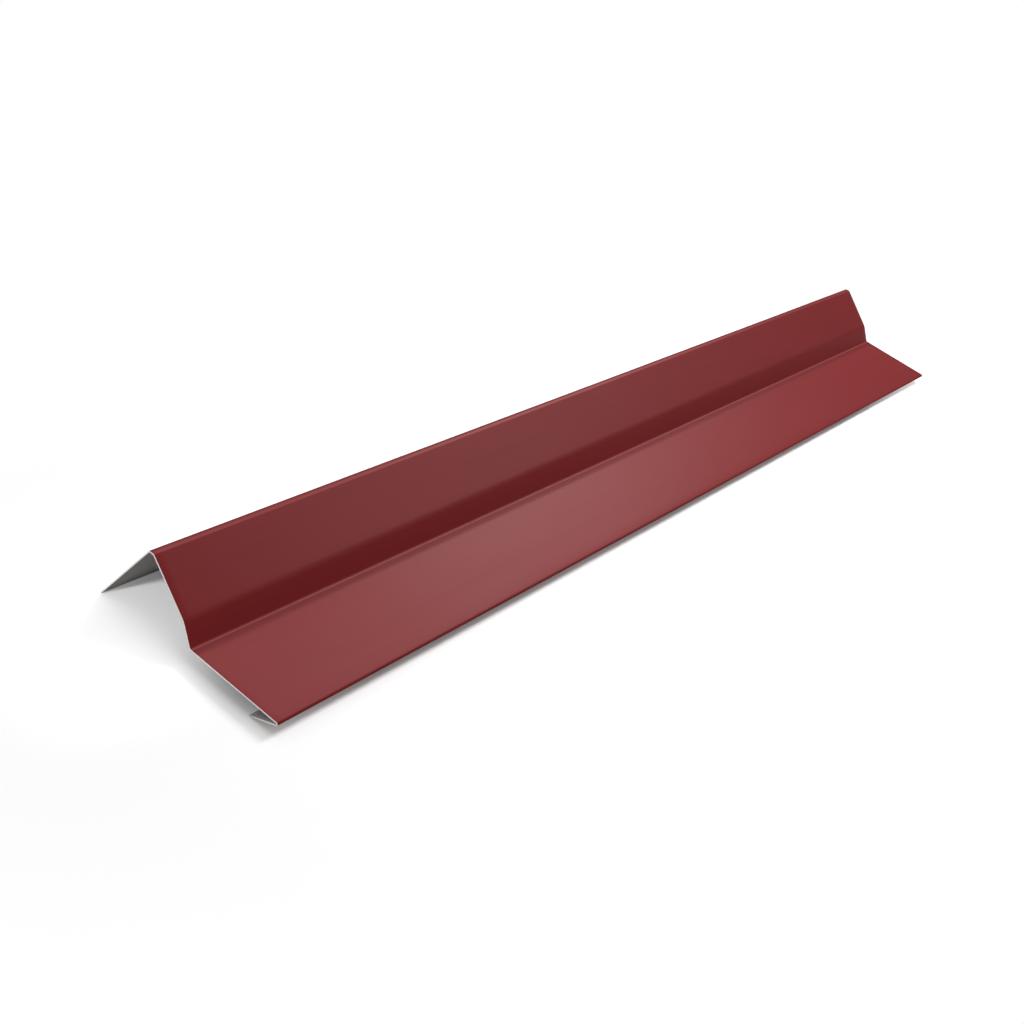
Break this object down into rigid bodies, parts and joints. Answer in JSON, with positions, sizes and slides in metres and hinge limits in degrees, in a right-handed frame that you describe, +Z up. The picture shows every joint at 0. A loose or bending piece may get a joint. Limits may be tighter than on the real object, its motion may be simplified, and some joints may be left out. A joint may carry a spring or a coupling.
{
  "type": "roof hip cap",
  "caption": "Long folded sheet-metal roof cap with a narrow flat crown, a stepped front slope, a wide flange with an open hem and a plain back leg.",
  "frame": {"origin": "bottom centre of the bounding box, on the floor that the cap lies on", "axes": "+X along the cap, -Y towards the flange and its hem, +Y towards the back leg, +Z up"},
  "size_m": [2, 0.2874, 0.099],
  "materials": {
    "wine red coating": "satin"
  },
  "bodies": {
    "root": {"folded_sheet": "wine red coating"}
  },
  "joints": []
}
